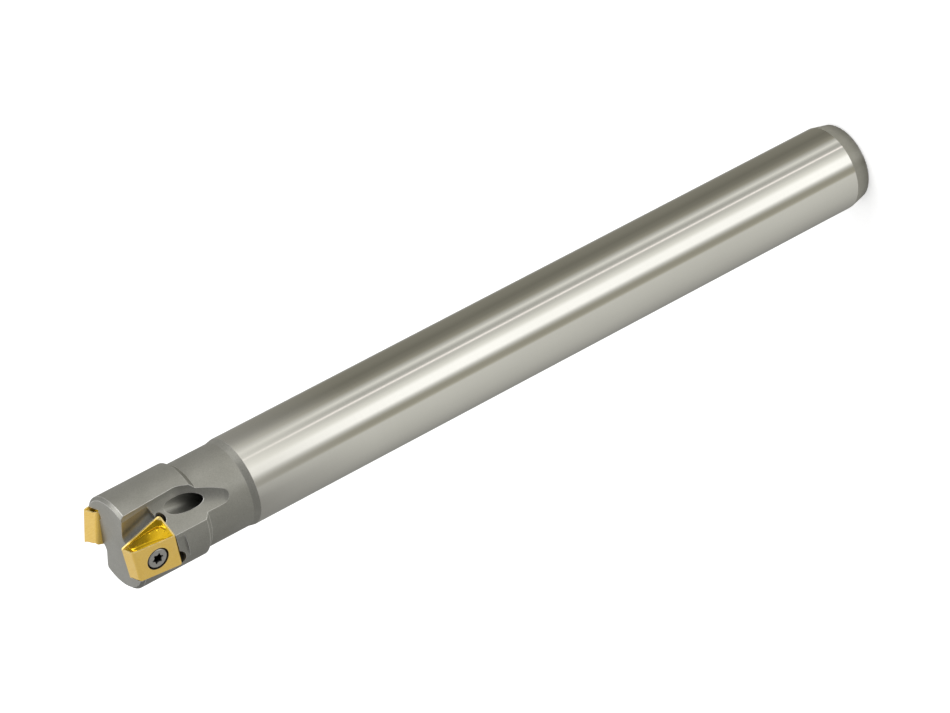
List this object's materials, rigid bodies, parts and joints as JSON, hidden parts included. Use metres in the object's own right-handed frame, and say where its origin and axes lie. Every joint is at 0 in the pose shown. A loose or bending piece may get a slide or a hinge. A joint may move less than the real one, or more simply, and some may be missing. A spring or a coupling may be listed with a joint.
{
  "type": "end mill",
  "caption": "Indexable shoulder end mill: long round shank, milled head with chip gullets, on-edge coated inserts held by countersunk screws, and coolant outlets.",
  "frame": {"origin": "centre of the shank's end face", "axes": "+Z along the tool axis, from the shank to the cutting end; insert A's screw points out halfway between +X and +Y, and insert B is half a turn round from it"},
  "size_m": [0.0168, 0.0172, 0.16],
  "materials": {
    "tool_steel": "bright ground shank, satin milled head",
    "coated_carbide": "gold-coloured hard coating, glossy rake and satin flanks",
    "screw_steel": "satin grey"
  },
  "bodies": {
    "root": {"cutter_body": "tool_steel", "insert_a": "coated_carbide", "insert_b": "coated_carbide", "clamp_screws": "screw_steel"}
  },
  "joints": []
}
